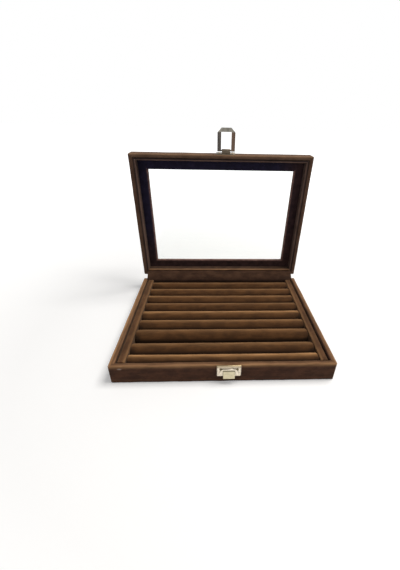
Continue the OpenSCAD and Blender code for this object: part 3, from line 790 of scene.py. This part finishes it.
# Painted highlight on the lip's rounded edge by the window
lip_highlight = [math.exp(-((p - lip_edge).length / (1.1 * MM)) ** 2) if p.x > LIP / 2 else 0.0 for p in edge]
rings, wear_and_shading = [], []
for quarter, side in enumerate(frame_rings(high.x, high.y, edge, 0.2 * MM)):
    rings += side
    # The edge along the front of the lid gets no painted highlight
    wear_and_shading += [[w if quarter else 0.0 for w in lip_highlight]] * len(side)
ob = build("velvet_lid_inner_frame", rings, wear_and_shading, closed=True)
dress(ob, "lid", inner_mat, "lid_inner_frame")

# Top frame
low, high = lid_span("lid_top_frame")
# Pale rounded edges: wear and painted highlight
ring, wear_and_shading = outline([
    (0, low.z, 0.25 * MM, 0.0), (WINDOW, low.z, 0.2 * MM, 0.0),
    (WINDOW, high.z, 0.7 * MM, 0.5), (0, high.z, 1.2 * MM, 0.9)], 1.6 * MM, 1.2 * MM)
sides = frame_rings(COVERED, HY, ring, 1.5 * MM, (WINDOW + COVERED - HX) / WINDOW)
ob = build("velvet_lid_top_frame", sum(sides, []), wear_and_shading, closed=True)
relief(ob, 0.14 * MM, 13 * MM, 91)
dress(ob, "lid", lid_x, "lid_top_frame")


# Hinge strip: it comes up the base's rear wall, crosses the gap and ends behind the lid's rear lining
low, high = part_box("hinge_strip")
STRIP = 0.4 * MM
inner_y = HY - WALL
tuck = lid_span("hinge_strip")[1].z
in_base = [(inner_y - 0.25 * MM, low.z), (inner_y - 0.25 * MM, RIM - 0.9 * MM),
           (inner_y + 0.5 * MM, RIM + 0.4 * MM)]
in_lid = [(inner_y, -0.6 * MM), (inner_y - 0.5 * MM, 1.0 * MM), (inner_y - 0.5 * MM, tuck)]
path = [Vector(at) for at in in_base] + [(OPEN @ Vector((0, *at))).yz for at in in_lid]


def smooth_path(points, count):
    """Points evenly along a Catmull-Rom curve, and the curve's length."""
    ends = [points[0] * 2 - points[1]] + points + [points[-1] * 2 - points[-2]]
    fine = []
    for a, b, c, d in zip(ends, ends[1:], ends[2:], ends[3:]):
        for k in range(12):
            t = k / 12
            square = (2 * a - 5 * b + 4 * c - d) * t * t
            cube = (3 * b - a - 3 * c + d) * t ** 3
            fine.append(0.5 * (2 * b + (c - a) * t + square + cube))
    fine.append(points[-1])
    lengths = [0.0]
    for a, b in zip(fine, fine[1:]):
        lengths.append(lengths[-1] + (b - a).length)
    out = []
    for k in range(count + 1):
        want = lengths[-1] * k / count
        j = max(i for i, so_far in enumerate(lengths) if so_far <= want + 1e-12)
        j = min(j, len(fine) - 2)
        t = (want - lengths[j]) / max(1e-9, lengths[j + 1] - lengths[j])
        out.append(fine[j].lerp(fine[j + 1], t))
    return out, lengths[-1]


line, strip_len = smooth_path(path, 26)
rings = []
half = high.x
for x in stations(half, 2.4 * MM):
    upper, under = [], []
    for k, p in enumerate(line):
        a, b = line[max(0, k - 1)], line[min(len(line) - 1, k + 1)]
        d = (b - a).normalized()
        n = Vector((-d.y, d.x))
        free = math.sin(math.pi * k / (len(line) - 1)) ** 2
        wave = 0.16 * MM * noise.noise(Vector((x * 38, k * 0.10, 4.4))) * free
        c = p + n * wave
        upper.append(Vector((x, *(c + n * STRIP / 2))))
        under.append(Vector((x, *(c - n * STRIP / 2))))
    rings.append(upper + under[::-1])
strip = build("velvet_hinge_strip", rings, [0.0] * len(rings[0]))
strip.data.materials.append(strip_mat)
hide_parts("hinge_strip")
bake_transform(strip)


# Metal, glass and boards of the frame

def finish_node(name, material, bevel=None):
    """Gives a node of the frame its material and, with bevel, softly broken edges."""
    ob = nodes[name]
    ob.data.materials.clear()
    ob.data.materials.append(material)
    if bevel:
        weld = ob.modifiers.new("weld", "WELD")
        weld.merge_threshold = 0.002 * MM
        cut = ob.modifiers.new("edge", "BEVEL")
        cut.width = bevel
        cut.segments = 2
        cut.limit_method = "ANGLE"
        cut.angle_limit = math.radians(32)
        cut.harden_normals = False
    for poly in ob.data.polygons:
        poly.use_smooth = True


finish_node("catch_plate", nickel, 0.14 * MM)
finish_node("catch_tongue", tongue_metal, 0.10 * MM)
finish_node("loop_plate", plate_metal, 0.12 * MM)
finish_node("latch_loop", loop_metal, 0.22 * MM)
for name in ("catch_nails", "loop_plate_nails", "base_hinge_nails", "lid_hinge_nails"):
    finish_node(name, nail_metal)
for side in ("left", "right"):
    finish_node(f"{side}_hinge_base_leaf", hinge_metal, 0.10 * MM)
    finish_node(f"{side}_hinge_lid_leaf", hinge_metal, 0.10 * MM)
    finish_node(f"{side}_hinge_pin", hinge_metal)
finish_node("base_floor", board_mat)
finish_node("tray_board", card_mat)
finish_node("glass_pane", glass_mat)


# Floor, light and camera

FLOOR = 6.0  # half the floor's width
FLOOR_GLOW = 0.26  # what the floor adds to its lit white near the object
BACKDROP_LIGHT = 0.24  # the backdrop's strength as a light, where the camera sees it at 1


def sees(tree):
    """1 for camera, glossy and transmission rays."""
    path = tree.nodes.new("ShaderNodeLightPath").outputs
    direct = math_node(tree, "ADD", path["Is Camera Ray"], path["Is Glossy Ray"])
    return math_node(tree, "ADD", direct, path["Is Transmission Ray"])


mesh = bpy.data.meshes.new("floor")
mesh.from_pydata([(-FLOOR, -FLOOR, 0), (FLOOR, -FLOOR, 0), (FLOOR, FLOOR, 0), (-FLOOR, FLOOR, 0)], [],
                 [(0, 1, 2, 3)])
floor = bpy.data.objects.new("floor", mesh)
bpy.context.scene.collection.objects.link(floor)
mat, tree, links = new_material("pale_floor")
diffuse = node(tree, "ShaderNodeBsdfDiffuse", Color=(0.8, 0.8, 0.8, 1.0))
glow = node(tree, "ShaderNodeEmission", Color=(1, 1, 1, 1))
# Paler away from the object, where the lamps no longer reach, so that floor and backdrop meet unseen
away = vector_node(tree, "LENGTH", tree.nodes.new("ShaderNodeTexCoord").outputs["Object"], output="Value")
far = ranged(tree, away, 0.2, 0.8, FLOOR_GLOW, 1.0)
links.new(math_node(tree, "MULTIPLY", sees(tree), far), glow.inputs["Strength"])
add = tree.nodes.new("ShaderNodeAddShader")
links.new(diffuse.outputs[0], add.inputs[0])
links.new(glow.outputs[0], add.inputs[1])
surface(tree, add)
mesh.materials.append(mat)

world = bpy.data.worlds.new("studio")
bpy.context.scene.world = world
world.use_nodes = True
tree = world.node_tree
background = tree.nodes["Background"]
background.inputs["Color"].default_value = (1, 1, 1, 1)
tree.links.new(ranged(tree, sees(tree), 0, 1, BACKDROP_LIGHT, 1.0), background.inputs["Strength"])


def lamp(name, at, aim, size, power, colour):
    data = bpy.data.lights.new(name, "AREA")
    data.shape = "RECTANGLE"
    data.size, data.size_y = size
    data.energy = power
    data.color = colour
    ob = bpy.data.objects.new(name, data)
    bpy.context.scene.collection.objects.link(ob)
    ob.location = at
    ob.rotation_euler = (Vector(aim) - Vector(at)).to_track_quat("-Z", "Y").to_euler()


lamp("key", at=(0.42, 0.02, 1.05), aim=(0, 0, 0.03), size=(0.5, 0.5), power=10.5, colour=(1.0, 0.98, 0.95))
lamp("fill", at=(-0.5, -1.0, 0.7), aim=(0, 0, 0.08), size=(0.9, 0.6), power=1.1, colour=(1.0, 0.97, 0.94))

# The camera was solved from the corners of the base and the lid in the photograph. The photo's size,
# the focal length and the point where the camera looks straight ahead are in its pixels
PHOTO_W, PHOTO_H = 400, 570
FOCAL = 278.7378
AHEAD_X, AHEAD_Y = 223.7132, 269.4178
PITCH, YAW, TILT = 1.0712671, -0.0494033, 0.0246280
SENSOR = 36
camera = bpy.data.objects.new("camera", bpy.data.cameras.new("camera"))
bpy.context.scene.collection.objects.link(camera)
camera.location = (-11.2284 * MM, -247.0167 * MM, 209.1208 * MM)
camera.rotation_euler = (Matrix.Rotation(YAW, 3, "Z") @ Matrix.Rotation(PITCH, 3, "X")
                         @ Matrix.Rotation(TILT, 3, "Z")).to_euler()
camera.data.sensor_width = SENSOR
camera.data.lens = FOCAL / PHOTO_H * SENSOR
camera.data.shift_x = (PHOTO_W / 2 - AHEAD_X) / PHOTO_H
camera.data.shift_y = (AHEAD_Y - PHOTO_H / 2) / PHOTO_H
camera.data.clip_start = 0.01
camera.data.clip_end = 50
bpy.context.scene.camera = camera
bpy.context.scene.view_settings.view_transform = "Standard"

bpy.context.view_layer.update()
